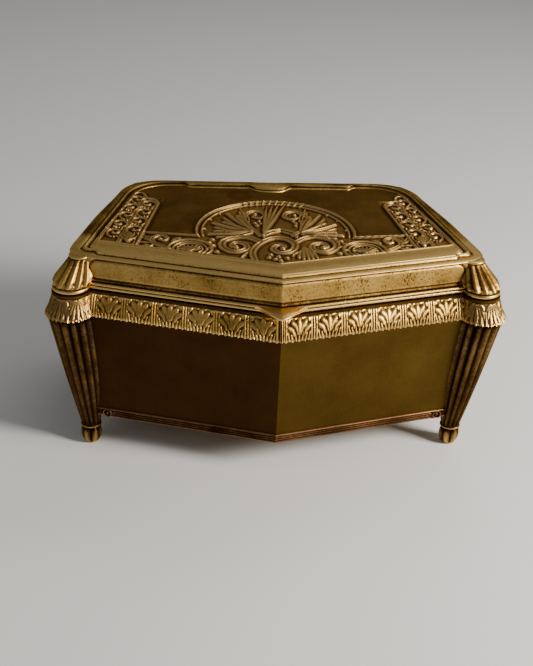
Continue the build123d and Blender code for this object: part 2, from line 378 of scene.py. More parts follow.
MEDALLION = (0.0, -5.9)
MEDALLION_RADIUS = 37.6
FIELD_FRONT = -13.4
FIELD_SIDE = -3.4
FIELD_BACK = -2.6
BAND_OUTER = ((83.6, -19.0), (69.4, 39.0))
BAND_MIDDLE = ((73.7, -21.6), (63.8, 36.0))
BAND_INNER = ((65.0, -24.2), (57.2, 25.5))
BAND_LINE = ((61.2, -9.4), (36.6, -12.4))


def draw_medallion(relief):
    """Double rim with a ladder of short bars, and everything inside it."""
    centre = np.array(MEDALLION)
    for inside, width, height in ((0.0, 0.85, 1.2), (2.5, 0.65, 0.95)):
        relief.arc(centre, MEDALLION_RADIUS - inside, -9, 189, width, height)
    lean = np.array([0.5, 0.0])
    for angle in np.radians(np.arange(66, 118, 5.2)):
        inner = centre + (MEDALLION_RADIUS - 2.9) * ray(angle) - lean
        outer = centre + (MEDALLION_RADIUS + 0.6) * ray(angle) + lean
        relief.stroke([inner, outer], 0.65, 1.2)
    draw_sprays(relief)
    draw_volutes(relief)
    for tip, width in (((-2.8, 26.8), 1.15), ((0.2, 28.8), 1.3), ((3.2, 29.2), 1.3), ((6.1, 28.2), 1.15)):
        relief.blade((-6.4, -13.0), tip, width, 1.5)


LARGE_SCROLLS = (
    [(-11.0, -40.0), (-11.9, -31.0), (-9.0, -22.0), (-2.6, -14.6), (4.4, -14.8), (8.2, -21.0), (6.2, -28.6),
     (0.9, -30.8), (-2.2, -27.0), (-0.4, -22.6), (3.0, -23.4), (2.2, -26.0)],
    [(-7.8, -18.6), (-12.6, -14.2), (-19.0, -13.8), (-25.0, -18.2), (-25.2, -25.6), (-20.4, -30.2),
     (-14.9, -27.4), (-14.9, -21.8), (-19.2, -19.8), (-21.4, -23.4), (-19.2, -25.2)],
    [(9.0, -18.4), (13.6, -13.4), (20.4, -12.2), (26.8, -16.6), (27.2, -24.2), (22.0, -29.6), (16.5, -27.0),
     (16.5, -21.6), (20.8, -19.4), (23.2, -22.8), (21.0, -24.6)])
SMALL_SCROLLS = (
    [(-7.4, -11.0), (-11.6, -2.0), (-14.6, 6.4), (-14.0, 14.0), (-10.2, 19.2), (-5.8, 18.6), (-4.2, 14.2),
     (-6.4, 10.6), (-9.8, 12.0), (-9.0, 15.0)],
    [(8.2, -10.8), (13.4, -3.0), (16.8, 6.0), (15.8, 13.8), (11.8, 19.0), (7.2, 18.2), (5.2, 13.4), (7.6, 9.8),
     (11.2, 11.0), (10.4, 14.4)])


def draw_volutes(relief):
    """The three large scrolls, the two small ones above them, and their fillers."""
    for scrolls, width, eye in ((LARGE_SCROLLS, 2.05, 1.5), (SMALL_SCROLLS, 1.5, 1.2)):
        for scroll in scrolls:
            relief.volute(scroll, width, eye)
    relief.wedge((-6.0, -12.8), (2.2, -3.4), 1.6, 1.0, 1.25, 3, 0.16)
    relief.wedge((9.8, -13.4), (3.4, -3.6), 1.6, 1.0, 1.25, 3, -0.16)
    for place in ((-9.4, 4.2), (-7.4, 6.6), (-8.6, 1.4), (-6.6, 3.4), (10.4, 4.6), (12.4, 6.8), (10.0, 1.6),
                  (9.2, 7.2)):
        relief.bead(place, 1.15, 1.1)
    for place in ((-4.6, -36.2), (-1.8, -38.0), (-3.6, -33.2), (-0.2, -35.2), (3.6, -36.6), (0.6, -39.6)):
        relief.bead(place, 1.4, 1.2)
    relief.wedge((12.4, -24.6), (13.4, -38.0), 4.2, 1.2, 1.1, 5)
    relief.petal((-13.4, -29.0), (-17.0, -36.4), 1.2, 1.0)
    relief.stroke(curve_through([(6.4, -33.6), (9.8, -29.6), (15.4, -32.4)]), 0.7, 1.0)


def draw_sprays(relief):
    """Spreading leaves at both sides of the centre blades."""
    leaves = (((31.6, -10.4), 3.7, 0.05), ((29.6, 3.2), 3.9, 0.03), ((22.8, 15.2), 3.7, 0.0))
    for sign, root in ((-1, (-11.0, -7.6)), (1, (12.0, -8.4))):
        for (x, y), spread, bend in leaves:
            relief.wedge(root, (sign * x, y), spread, 1.5, 1.3, 3, -sign * bend)
            relief.petal(root, (sign * (4.0 + 0.62 * x), 0.7 * y - 1.0), 1.3, 1.75, -sign * bend)
        relief.wedge((sign * 12.6, 2.0), (sign * 16.2, 22.6), 1.2, 0.8, 1.2, 3)
        for x, y in ((34.0, -3.4), (31.2, 8.6), (26.6, 15.8)):
            relief.bead((sign * x, y), 1.0, 0.9)
        for x, y in ((30.2, -16.6), (31.6, -20.2), (29.8, -23.6), (31.4, -27.0), (28.2, -30.4)):
            relief.bead((sign * x, y), 1.6, 1.15)


def draw_front_band(relief):
    """Half roundels, curls and small leaves along the two prow sides."""
    curl = [(49.8, -27.6), (53.4, -25.0), (57.6, -20.6), (57.8, -15.4), (54.4, -12.4), (51.2, -14.6),
            (52.2, -18.0), (54.4, -17.0)]
    leaves = (((49.0, -18.6), (45.2, -14.6), 1.3, 0.9), ((57.4, -23.6), (62.6, -26.4), 1.6, 0.95),
              ((59.2, -18.6), (61.8, -12.4), 1.5, 0.95))
    for sign in (-1, 1):
        centre = np.array([sign * 40.4, -27.4])
        for radius, width, height in ((10.0, 1.0, 1.25), (7.7, 0.75, 1.0), (5.8, 0.6, 1.1)):
            relief.arc(centre, radius, -50, 230, width, height)
        hub = centre + np.array([0.0, -2.4])
        relief.bead(hub, 1.6, 1.2)
        for angle in np.radians(np.linspace(25, 155, 8)):
            relief.petal(hub + 1.0 * ray(angle), hub + 6.6 * ray(angle), 0.85, 1.0)
        relief.volute(mirrored(curl, sign), 1.4, 1.0)
        for base, tip, spread, height in leaves:
            relief.wedge(*mirrored([base, tip], sign), spread, 0.8, height, 3)
        relief.petal((sign * 58.8, -21.0), (sign * 63.6, -20.4), 0.9, 0.9)
        relief.bead((sign * 60.6, -23.0), 1.0, 0.9)
        relief.stroke(mirrored(BAND_LINE, sign), 0.85, 0.9)


def line_x(line, y):
    """X of a band line, given by two points, at height y."""
    (x0, y0), (x1, y1) = line
    return x0 + (x1 - x0) * (y - y0) / (y1 - y0)


def band_point(first, second, share, y):
    """Point between two band lines at height y, share from 0 at the first to 1."""
    start, end = line_x(first, y), line_x(second, y)
    return start + (end - start) * share, y


def draw_side_bands(relief):
    """Two framed strips along each side, filled with scrolls, leaves and a fan."""
    outer, middle, inner = BAND_OUTER, BAND_MIDDLE, BAND_INNER
    cap = curve_through([outer[1], (69.0, 40.2), (67.6, 41.6), (65.4, 41.2), (63.9, 38.6)])
    shoulder = curve_through([inner[1], (57.3, 29.2), (59.0, 32.6), (61.6, 34.2), (64.0, 34.6)])
    strips = ((middle, inner, 0.44, 0.9, ((27.4, 1), (16.4, -1), (5.4, 1), (-5.2, -1))),
              (outer, middle, 0.5, 0.8, ((34.0, -1), (23.4, 1), (12.6, -1), (1.8, 1), (-9.0, -1))))
    for sign in (-1, 1):
        relief.stroke(mirrored([*outer, *cap], sign), 0.7, 1.1)
        relief.stroke(mirrored([middle[0], (64.0, 37.0)], sign), 1.25, 1.15, channel=True)
        relief.stroke(mirrored([*inner, *shoulder], sign), 0.95, 1.35)
        relief.stroke(mirrored([(x + 1.9, y) for x, y in inner], sign), 0.45, 0.8)
        for first, second, share, size, scrolls in strips:
            for place, flip in scrolls:
                draw_scroll_leaf(relief, sign, *band_point(first, second, share, place), flip, size)
        x, y = band_point(middle, inner, 0.5, -20.6)
        for place in np.linspace(-1, 1, 7):
            tip = (sign * (x + 3.5 * place), y + 10.4 - 4.4 * place ** 2)
            relief.petal((sign * (x + 0.5 * place), y), tip, 0.66, 1.3)


def draw_scroll_leaf(relief, sign, x, y, flip, size):
    """Open C scroll with thin leaves that fan away from it."""
    def spot(dx, dy):
        return sign * (x + flip * size * dx), y + size * dy

    curl = [(-1.2, -7.0), (-3.4, -4.0), (-3.9, 0.2), (-1.6, 3.5), (1.8, 3.2), (3.4, 0.4), (1.9, -2.2),
            (-0.6, -1.5), (-0.5, 0.6)]
    widths = size * np.array([0.5, 0.85, 0.8, 0.6])
    relief.stroke(curve_through([spot(*point) for point in curl]), widths, 1.2)
    leaves = (((0.2, -3.6), (0.4, -7.4)), ((1.2, -3.6), (2.4, -7.0)), ((2.2, -3.2), (4.0, -5.8)),
              ((3.4, 2.8), (4.3, 5.6)), ((-3.4, 3.4), (-4.2, 6.0)))
    for base, tip in leaves:
        relief.petal(spot(*base), spot(*tip), 0.62 * size, 1.05)


def sunk_ground(x, y):
    """1 inside the ornamented areas, 0 on the plain field."""
    distance = np.hypot(x - MEDALLION[0], y - MEDALLION[1])
    (far_x, far_y), (near_x, near_y) = BAND_LINE
    line_y = np.interp(np.abs(x), (near_x, far_x), (near_y, far_y))
    ground = np.where((distance < MEDALLION_RADIUS) & (y > line_y - 1.0), 1.0, 0.0)
    ground = np.where(y < line_y, 1.0, ground)
    for first, second, top in ((BAND_OUTER, BAND_MIDDLE, 39.6), (BAND_MIDDLE, BAND_INNER, 35.2)):
        between = (np.abs(x) < line_x(first, y)) & (np.abs(x) > line_x(second, y))
        ground = np.where(between & (y < top), 1.0, ground)
    return np.where(np.abs(x) > line_x(BAND_OUTER, y), 0.0, ground)


def spaced(stops):
    """Values between stops given as (from, to, step), joined end to end."""
    values = []
    for low, high, step in stops:
        count = max(int(round((high - low) / step)), 1)
        values.extend(np.linspace(low, high, count, endpoint=False))
    values.append(stops[-1][1])
    return np.array(values)


def blur_grid(values, times):
    for _ in range(times):
        padded = np.pad(values, 1, mode="edge")
        values = (padded[1:-1, :-2] + padded[1:-1, 2:] + padded[:-2, 1:-1] + padded[2:, 1:-1]
                  + 2 * padded[1:-1, 1:-1]) / 6
    return values


def make_field(material):
    """Top of the lid inside its bead: the plain field, the medallion and the bands."""
    border = 0.8
    half_width, fine, middling, coarse = 84.0, 0.40, 0.46, 2.2
    front, back = FIELD_FRONT + border, FIELD_BACK + border
    apex_y = float(prow_line(0.0, front))
    depth = PLAN[2][1] + back - apex_y
    half = spaced([(0.0, 0.475, fine / half_width), (0.475, 1.0, middling / half_width)])
    relief_end, bands_end = 34.5 - apex_y, 42 - apex_y
    reach = spaced([(0.0, relief_end, fine), (relief_end, bands_end, 0.6), (bands_end, depth, coarse)])
    across, back_share = np.meshgrid(np.concatenate([-half[:0:-1], half]), reach / depth)
    x, y = prow_grid(across, back_share, front, FIELD_SIDE + border, back)
    relief = Relief(x, y)
    draw_medallion(relief)
    draw_front_band(relief)
    draw_side_bands(relief)
    ground = blur_grid(sunk_ground(x, y), 2)
    surface = blur_grid(relief.h, 1) - 0.45 * ground
    raised = smooth_step((relief.h - 0.15) / 0.6)
    ridge = surface - blur_grid(surface, 26)
    crevice = surface - blur_grid(surface, 7)
    wear_and_light = 0.44 + 0.10 * ridge + 0.85 * crevice + ground * (0.085 + 0.10 * raised)
    piece = closed_slab("lid_field", x, y, FIELD_Z + surface, LID_INSIDE_Z + 0.3, material, sharp_deg=60)
    underside = np.full(len(piece.data.vertices) - wear_and_light.size, 0.4)
    store_wear_and_light(piece, np.concatenate([wear_and_light.ravel(), underside]))
    return piece


# ---------------------------------------------------------------- swept mouldings

def stations(count):
    """Edge index and share along it for every point round the plan, closer at the ends."""
    t = np.linspace(0, 1, count, endpoint=False)
    share = t - 0.56 * np.sin(FULL_TURN * t) / FULL_TURN
    return np.repeat(np.arange(5), count), np.tile(share, 5)


def ring_row(edges, shares, offsets, rounding):
    """One row of a sweep: offsets (front, side, back), corners rounded by their reach."""
    corners = outline(*offsets)
    start, end = corners[edges], corners[(edges + 1) % 5]
    row = start + (end - start) * shares[:, None]
    for corner, reach in enumerate(rounding):
        tip = corners[corner]
        before, after = (tip + reach * unit(corners[(corner + step) % 5] - tip) for step in (-1, 1))
        for edge, sign in ((corner, 1), ((corner - 1) % 5, -1)):
            distance = np.hypot(*(row - tip).T)
            close = (edges == edge) & (distance < reach)
            s = 0.5 * (1 + sign * distance[close] / reach)[:, None]
            row[close] = before * (1 - s) ** 2 + tip * (2 * s * (1 - s)) + after * s ** 2
    return row


def unit(vector):
    return vector / np.hypot(*vector)


HINGE_HALF = 43.0
HALF_MOON = 9.5
FASCIA_LOW_Z = 86.6
FASCIA_HIGH_Z = 97.0
BAND_EDGE = 4.0


def back_step(x):
    """How far the bead steps in over the hinge, with the half-moon dip at the middle."""
    step = 2.8 * smooth_step((HINGE_HALF + 1.5 - np.abs(x)) / 3.0)
    return step + 5.4 * np.sqrt(np.clip(1 - (x / HALF_MOON) ** 2, 0, 1))


def fascia_line(along, length, z, edge):
    """Depth of the line engraved round the panel on the lid's side, round next to the bells."""
    low, high, radius, inset = 87.4, 96.4, 3.6, 9.6
    reach = np.minimum(along, length - along)
    if edge == 0:
        reach = np.where(along < length / 2, length, reach)
    if edge == 4:
        reach = np.where(along > length / 2, length, reach)
    qx = (inset + radius) - reach
    qz = np.abs(z - (low + high) / 2) - ((high - low) / 2 - radius)
    outside = np.hypot(np.maximum(qx, 0), np.maximum(qz, 0)) + np.minimum(np.maximum(qx, qz), 0) - radius
    return 0.55 * np.exp(-(outside / 0.5) ** 2) + 0.12 * smooth_step(0.5 - outside / 0.7)


NOTCH_DEPTH = 1.9
NOTCH_WIDTH = 5.0
SIDE_SWELL = 1.9


def notch_front_corners(row, edges):
    """Steps the bead back along the sides at the two front corners."""
    _, along, _, _ = edge_frame(1)
    x, y = row[:, 0], row[:, 1]
    on_front = np.isin(edges, FRONT_EDGES)
    gap = (FRONT_CORNER[0] - np.abs(x)) * math.hypot(1, PROW_SLOPE)
    front_share = 1 - smooth_step((gap - NOTCH_WIDTH) / 3.2)
    side_share = np.clip(1 - (y - FRONT_CORNER[1]) / 30.0, 0, 1)
    share = NOTCH_DEPTH * np.where(on_front, front_share, side_share)
    row[:, 0] += share * along[0] * np.sign(x)
    row[:, 1] += share * along[1]
    return row


def swell_sides(row, edges, level):
    """Moves the upper part of the sides out a little between the bells."""
    _, _, normal, _ = edge_frame(1)
    y = row[:, 1]
    share = smooth_step((y + 44.0) / 22.0) * smooth_step((46.0 - y) / 42.0)
    share = SIDE_SWELL * share * level * ((edges == 1) | (edges == 3))
    row[:, 0] += share * normal[0] * np.sign(row[:, 0])
    row[:, 1] += share * normal[1]
    return row


# Reach of the rounding at each corner: prow, front right, back right, back left, front left.
SHARP = (0.25, 0.6, 0.6, 0.6, 0.6)
FASCIA_ROUNDING = (0.25, 8.5, 19.0, 19.0, 8.5)
BAND_ROUNDING = (0.4, 8.0, 19.0, 19.0, 8.0)
BEAD_ROUNDING = (0.4, 3.4, 19.0, 19.0, 3.4)
MARGIN_ROUNDING = (0.6, 4.0, 18.0, 18.0, 4.0)
FIELD_ROUNDING = (0.6, 2.0, 16.0, 16.0, 2.0)
# Distance out, height and tone shift of each step of the mouldings; steps with a shift below 0 are made darker.
RIM_MOULDING = ((7.6, 83.35, -0.1), (7.95, 83.75, 0.0), (8.0, 84.25, 0.05), (7.75, 84.65, 0.0),
                (7.2, 84.85, -0.3), (7.25, 85.0, -0.3), (7.65, 85.15, 0.0), (7.75, 85.5, 0.05),
                (7.6, 85.9, 0.0), (7.2, 86.15, 0.0), (6.6, 86.25, -0.25), (6.2, 86.4, -0.3), (6.25, 86.6, -0.1))
BAND_STEPS = ((5.1, 97.05), (4.95, 97.35), (4.6, 97.52), (4.1, 97.58), (3.2, 97.62), (2.4, 97.66))
BEAD_STEPS = ((1.8, 97.5, -0.1), (1.5, 97.1, -0.4), (1.3, 97.1, -0.4), (1.0, 97.7, -0.1),
              (0.65, 98.25, 0.0), (0.3, 98.53, 0.05), (0.0, 98.6, 0.08), (-0.35, 98.5, 0.05),
              (-0.75, 98.15, 0.0), (-1.1, 97.7, -0.2), (-1.35, 97.45, -0.4), (-1.6, 97.5, -0.3),
              (-1.9, 97.95, 0.0))
# Share of the way from the bead to the field, and height.
MARGIN_STEPS = ((0.15, 98.05), (0.4, 98.08), (0.62, 98.05), (0.8, 98.0), (0.88, 97.98))
# Distance in from the edge of the field, height at the front, height at the sides, and tone shift.
FIELD_STEPS = ((-1.5, 97.9, 97.98, -0.1), (-1.25, 97.4, 97.97, -0.4), (-1.05, 97.5, 97.96, -0.3),
               (-0.75, 98.05, 97.95, 0.0), (-0.4, 98.3, 97.93, 0.05), (0.0, 98.1, 97.9, 0.0),
               (0.25, 97.6, 97.75, -0.2), (0.4, 97.2, 97.2, -0.3))


def lid_frame_rows():
    """Rows of the lid's section: offsets, front and side height, rounding, back step, swell, tone shift."""
    rows = []

    def add(offsets, z, rounding, follow=0.0, swell=0.0, shade=0.0, side_z=None):
        offsets = (offsets,) * 3 if np.isscalar(offsets) else offsets
        rows.append((offsets, z, z if side_z is None else side_z, rounding, follow, swell, shade))

    for out in (3.9, 7.1):
        add(out, LID_LOW_Z, SHARP, shade=-0.2)
    for out, z, shade in RIM_MOULDING:
        add(out, z, SHARP, shade=shade)
    for z in map(float, np.arange(86.9, 96.95, 0.35)):
        level = (z - 86.3) / 10.9
        add(6.2 - 1.2 * level, z, FASCIA_ROUNDING, swell=level, shade=0.04)
    for out, z in BAND_STEPS:
        rounding, follow = (FASCIA_ROUNDING, 0.1) if out > 3 else (BAND_ROUNDING, 0.7)
        add(out, z, rounding, follow, (out - 1.5) / 3.6)
    for out, z, shade in BEAD_STEPS:
        add(out, z, BEAD_ROUNDING, 1.0, shade=shade)
    field = np.array([FIELD_FRONT, FIELD_SIDE, FIELD_BACK])
    bead_inside = BEAD_STEPS[-1][0]
    for share, z in MARGIN_STEPS:
        add(bead_inside + (field - bead_inside) * share, z, MARGIN_ROUNDING, 1.0 - 0.4 * share)
    for step, z, side_z, shade in FIELD_STEPS:
        add(field - step, z, FIELD_ROUNDING, 1.0, shade=shade, side_z=side_z)
    add(field - 0.6, LID_INSIDE_Z + 0.1, FIELD_ROUNDING, 1.0, shade=-0.2)
    add(2.75, LID_INSIDE_Z, SHARP, shade=-0.2)
    return rows


def make_lid_frame(material):
    """The lid's rim, sides, band, bead and margin as one closed ring."""
    edges, shares = stations(120)
    rows = lid_frame_rows()
    front_share = np.isin(edges, FRONT_EDGES) * 1.0
    table = []
    shading = []
    for offsets, z, side_z, rounding, follow, swell, shade in rows:
        xy = ring_row(edges, shares, offsets, rounding)
        if follow > 0:
            back = edges == BACK_EDGE
            xy[back, 1] -= follow * back_step(xy[back, 0])
        shading.append(np.full(len(xy), shade))
        if follow == 1.0 and offsets[0] > BEAD_STEPS[-1][0] - 0.1:
            xy = notch_front_corners(xy, edges)
        if swell > 0:
            xy = swell_sides(xy, edges, swell)
        if FASCIA_LOW_Z < z < FASCIA_HIGH_Z and offsets[0] > BAND_EDGE:
            for edge in range(5):
                here = edges == edge
                _, _, normal, length = edge_frame(edge)
                xy[here] -= fascia_line(shares[here] * length, length, z, edge)[:, None] * normal
        table.append(np.column_stack([xy, side_z + (z - side_z) * front_share]))
    faces = grid_faces(len(rows), len(edges), wrap_rows=True, wrap_cols=True)
    piece = mesh_object("lid_frame", np.concatenate(table), faces, material, sharp_deg=50)
    paint_wear(piece, 1.0, 2, 5)
    # Painted light on the front of the lid's top, painted shade towards its sides and back.
    return paint_lid_top_light(piece, np.concatenate(shading))


def paint_lid_top_light(piece, shading):
    """Adds each row's tone shift, then painted light on the front of the lid's top and painted shade towards
    its sides and back.
    """
    co, wear_and_light = read_wear_and_light(piece)
    behind = co[:, 1] - prow_line(co[:, 0], 0.0)
    top = smooth_step((co[:, 2] - 96.9) / 0.5)
    front = 1 - smooth_step((behind - 14.0) / 8.0)
    # Painted light on the front of the top, painted shade on its sides and back.
    store_wear_and_light(piece, wear_and_light + shading + top * (0.13 * front - 0.16 * (1 - front)))
    return piece


def ring(centre, reach, angles, z):
    """Points round a centre; reach and z are numbers, or hold a value for each angle."""
    return np.column_stack([centre[0] + reach * np.cos(angles), centre[1] + reach * np.sin(angles),
                            np.broadcast_to(z, len(angles))])


def lathe(centre, profile, angles, lobes=0, depth=0.0):
    """Rings of a turned shape given as (radius, z), cut in between its lobes."""
    shape = 1 - depth * (1 - np.abs(np.cos(lobes * angles / 2)))
    return [ring(centre, radius * shape, angles, z) for radius, z in profile]


# The profiles of turned parts give the radius and the height of each ring.
BELL_LOBES = 12
BELL_LOW_Z = 85.15
BELL_HEIGHT = 11.1
BELL_RIM = ((7.0, 83.2), (8.0, 83.25), (8.45, 83.55), (8.55, 84.0), (8.4, 84.6), (8.0, 84.95), (7.6, 85.05))
# Share of the height, and radius.
BELL_PROFILE = ((0.0, 8.55), (0.12, 8.95), (0.3, 8.75), (0.5, 7.7), (0.7, 6.5), (0.88, 5.5), (1.0, 5.1))
BELL_CAP = ((4.7, 96.45), (5.0, 96.6), (5.1, 96.95), (5.0, 97.25), (4.7, 97.4), (3.0, 97.45))
BACK_BELL_SHIFT = np.array([2.8, 3.4])


def bell_shape(angles, up):
    """Reach of the convex lobes, whose round lower ends stand over the plain rim."""
    wave = 0.5 + 0.5 * np.cos(BELL_LOBES * angles)
    across = np.abs(((BELL_LOBES * angles / FULL_TURN + 0.5) % 1.0) - 0.5) * 2
    lift = 0.20 * (1 - np.sqrt(np.clip(1 - across ** 2, 0, 1)))
    begin = smooth_step((up - 0.02 - lift) / 0.05)
    end = 1 - 0.5 * smooth_step((up - 0.86) / 0.14)
    return 0.90 + 0.10 * begin - 0.16 * (1 - wave ** 0.7) * begin * end


def make_bell(row, side, sign, material):
    """Fluted bell on a corner of the lid."""
    low = corner_point(CAPITAL_TOP, row, sign)
    high = corner_point(BELL_TOP, row, sign)
    if row == "back":
        high -= BACK_BELL_SHIFT * (sign, 1)
    angles = np.linspace(0, FULL_TURN, 264, endpoint=False)
    heading = math.atan2(low[1] - high[1], low[0] - high[0])
    rings = lathe(low, BELL_RIM, angles)
    for up in np.linspace(0, 1, 38):
        reach = np.interp(up, *zip(*BELL_PROFILE)) * bell_shape(angles - heading, up)
        rings.append(ring(low + (high - low) * up, reach, angles, BELL_LOW_Z + BELL_HEIGHT * up))
    rings += lathe(high, BELL_CAP, angles)
    piece = closed_rings(f"bell_{row}_{side}", rings, material)
    keep_out(piece, (FASCIA_INSIDE, FASCIA_INSIDE), LID_LOW_Z - 1, LID_INSIDE_Z)
    paint_wear(piece, 1.1, 2, 6)
    co, wear_and_light = read_wear_and_light(piece)
    store_wear_and_light(piece, wear_and_light - 0.16 * (1 - smooth_step((co[:, 2] - 84.9) / 0.8)) - 0.03)
    return piece


def push_out(points, picked, front, side):
    """Moves the picked points that lie inside the offset plan out to its nearest side."""
    depth, nearest = inside_depth(points[picked], front, side)
    points[picked, :2] += nearest * np.maximum(depth, 0)[:, None]


def keep_out(piece, offsets, low_z, high_z):
    """Pushes points that lie inside the hollow of the box out to its walls."""
    co, _, _ = mesh_arrays(piece.data)
    push_out(co, (co[:, 2] > low_z) & (co[:, 2] < high_z), *offsets)
    set_points(piece, co)


CAPITAL_LEAVES = 7
LEAF_HEIGHT = 9.4


def capital_relief(angles, up):
    """Height of the leaves that hang round the head of a leg, up from 0 to 1."""
    period = 8.8
    cell = (CAPITAL_LEAVES * angles / FULL_TURN + 0.5) % 1.0 - 0.5
    relief = Relief(cell * period, np.full(len(angles), up * LEAF_HEIGHT))
    relief.petal((0.0, 8.6), (0.0, 0.8), 1.15, 1.2)
    for sign in (-1, 1):
        relief.petal((0.4 * sign, 8.4), (2.1 * sign, 0.8), 1.05, 1.05, 0.06 * sign)
        relief.petal((0.8 * sign, 8.6), (3.6 * sign, 2.8), 1.05, 1.0, 0.08 * sign)
        relief.petal((1.2 * sign, 9.0), (3.6 * sign, 6.2), 1.05, 0.95, 0.08 * sign)
        relief.stroke([(4.35 * sign, 0.0), (4.3 * sign, 5.0)], 0.7, 0.85)
    return np.maximum(relief.h, 0.2)


LEG_FLUTES = 13
SHAFT_RADIUS = (4.5, LEG_TOP_RADIUS - 0.45)
SHAFT_Z = (10.6, FRIEZE_LOW_Z - 0.5)
FOOT_SOLE = ((1.2, 0.0), (2.6, 0.0), (3.3, 0.35))
FOOT_BUD = ((4.1, 1.2), (4.7, 2.6), (5.0, 4.2), (5.0, 5.8), (4.75, 7.3), (4.25, 8.5), (3.75, 9.05))
ANKLE_RING = ((3.7, 9.2), (4.5, 9.28), (4.95, 9.55), (4.95, 9.95), (4.6, 10.25), (4.4, 10.4))
CAPITAL_LID = ((7.9, 81.1), (7.6, 81.3), (4.0, 81.35))


def leg_shape(angles, heading, inward, up):
    """Reach of the fluted shaft as a share of its radius; it swells most towards the box."""
    wave = 0.5 + 0.5 * np.cos(LEG_FLUTES * (angles - heading))
    swell = (1.1 + 0.8 * np.cos(angles - inward)) * math.sin(math.pi * up ** 0.8)
    radius = ANKLE_RADIUS + (LEG_TOP_RADIUS - ANKLE_RADIUS) * up
    return 1 + swell / radius - 0.17 * (1 - wave ** 0.62) * smooth_step(up / 0.02)


def capital_rings(top, crown, angles, from_leaf):
    """Head of a leg: leaves with a ragged lower edge; from_leaf has the angles from a leaf's middle."""
    ragged = 0.5 * np.abs(np.cos(2.5 * CAPITAL_LEAVES * from_leaf))
    rings = []
    for more in (-0.5, 0.1):
        reach = LEG_TOP_RADIUS + more + 0.8 * capital_relief(from_leaf, 0.02)
        rings.append(ring(top, reach, angles, FRIEZE_LOW_Z - 0.4 - ragged))
    for up in np.linspace(0.02, 0.95, 34):
        radius = LEG_TOP_RADIUS - 0.25 + (CAPITAL_RADIUS - LEG_TOP_RADIUS) * up - 0.5 * math.sin(math.pi * up)
        reach = radius + capital_relief(from_leaf, up) * (0.85 - 0.25 * up)
        z = FRIEZE_LOW_Z + (FRIEZE_HIGH_Z - FRIEZE_LOW_Z) * up - ragged * (1 - up) ** 3
        rings.append(ring(top + (crown - top) * up, reach, angles, z))
    return rings + lathe(crown, CAPITAL_LID, angles)


def make_leg(row, side, sign, material):
    """Fluted leg with its capital, ring and bud foot."""
    ankle, top, crown = (corner_point(table, row, sign) for table in (ANKLE, LEG_TOP, CAPITAL_TOP))
    angles = np.linspace(0, FULL_TURN, 312, endpoint=False)
    heading = math.atan2(-1.0, 0.25 * sign)
    inward = (1 + sign) * math.pi / 2
    rings = lathe(ankle, FOOT_SOLE, angles) + lathe(ankle, FOOT_BUD, angles, 6, 0.26)
    rings += lathe(ankle, ANKLE_RING, angles)
    for up in np.linspace(0, 1, 60):
        radius, z = (low + (high - low) * up for low, high in (SHAFT_RADIUS, SHAFT_Z))
        reach = radius * leg_shape(angles, heading, inward, up)
        rings.append(ring(ankle + (top - ankle) * up, reach, angles, z))
    rings += capital_rings(top, crown, angles, angles - heading - 0.2 * sign)
    piece = closed_rings(f"leg_{row}_{side}_fluted", rings, material)
    keep_out(piece, (4.9, 0.1), 19.5, BASE_HIGH_Z)
    keep_out_wall(piece)
    paint_wear(piece, 0.9, 3, 7)
    co, wear_and_light = read_wear_and_light(piece)
    capital = smooth_step((co[:, 2] - FRIEZE_LOW_Z + 1.5) / 1.0)
    foot = 1 - smooth_step((co[:, 2] - 8.8) / 0.8)
    store_wear_and_light(piece, wear_and_light + capital * (0.12 - 0.35 * (wear_and_light - 0.5)) - 0.20 * foot)
    return piece


def keep_out_wall(piece):
    """Keeps a leg out of the lined hollow, whose walls flare from floor to rim."""
    co, _, _ = mesh_arrays(piece.data)
    for low_z in np.arange(BASE_HIGH_Z, FRIEZE_HIGH_Z, 1.0):
        share = np.clip((low_z - BASE_HIGH_Z) / (FRIEZE_LOW_Z - BASE_HIGH_Z), 0, 1)
        front, side = (low + (high - low) * share - WALL for low, high in zip(WALL_LOW, WALL_HIGH))
        if low_z > FRIEZE_LOW_Z:
            fall = (low_z - FRIEZE_LOW_Z) / (FRIEZE_HIGH_Z - FRIEZE_LOW_Z)
            front += (RIM_INSIDE - front) * fall
            side += (RIM_INSIDE - side) * fall
        push_out(co, (co[:, 2] >= low_z) & (co[:, 2] < low_z + 1.0), front, side)
    set_points(piece, co)


ACANTHUS_PERIOD = 14.2


def frieze_relief(along, up, near, phase):
    """Height of the cast frieze, up from 0 to 1: palmettes between reeds, and reeds near the prow."""
    cell = ((along - phase) / ACANTHUS_PERIOD) % 1.0 - 0.5
    relief = Relief(cell * ACANTHUS_PERIOD, np.full(len(along), up * LEAF_HEIGHT))
    half = ACANTHUS_PERIOD / 2
    for reed in (-half, 1.2 - half, half - 1.2, half):
        relief.stroke([(reed, 0.2), (reed, 9.2)], 0.62, 0.85)
    relief.petal((0.0, 3.0), (0.0, 7.9), 1.75, 1.35)
    relief.stroke([(0.0, 0.0), (0.0, 4.6)], 0.65, 0.95)
    for sign in (-1, 1):
        relief.petal((0.7 * sign, 2.8), (3.1 * sign, 7.5), 1.6, 1.25, 0.12 * sign)
        relief.petal((2.4 * sign, 2.2), (4.9 * sign, 5.8), 1.4, 1.15, 0.16 * sign)
        relief.stroke([(1.3 * sign, 0.0), (1.9 * sign, 3.6)], 0.6, 0.9)
        relief.stroke([(2.8 * sign, 0.0), (3.6 * sign, 2.6)], 0.6, 0.85)
        relief.stroke([(4.3 * sign, 0.0), (5.1 * sign, 3.2)], 0.55, 0.8)
        relief.petal((5.0 * sign, 7.4), (4.6 * sign, 9.1), 1.0, 0.95)
        relief.petal((1.7 * sign, 8.7), (1.6 * sign, 9.4), 0.9, 0.8)
    height = np.maximum(relief.h, 0.22)
    reeds = 0.85 * np.abs(np.cos(math.pi * near / 1.35)) ** 0.7
    return np.where(near < 1.2, reeds, height)


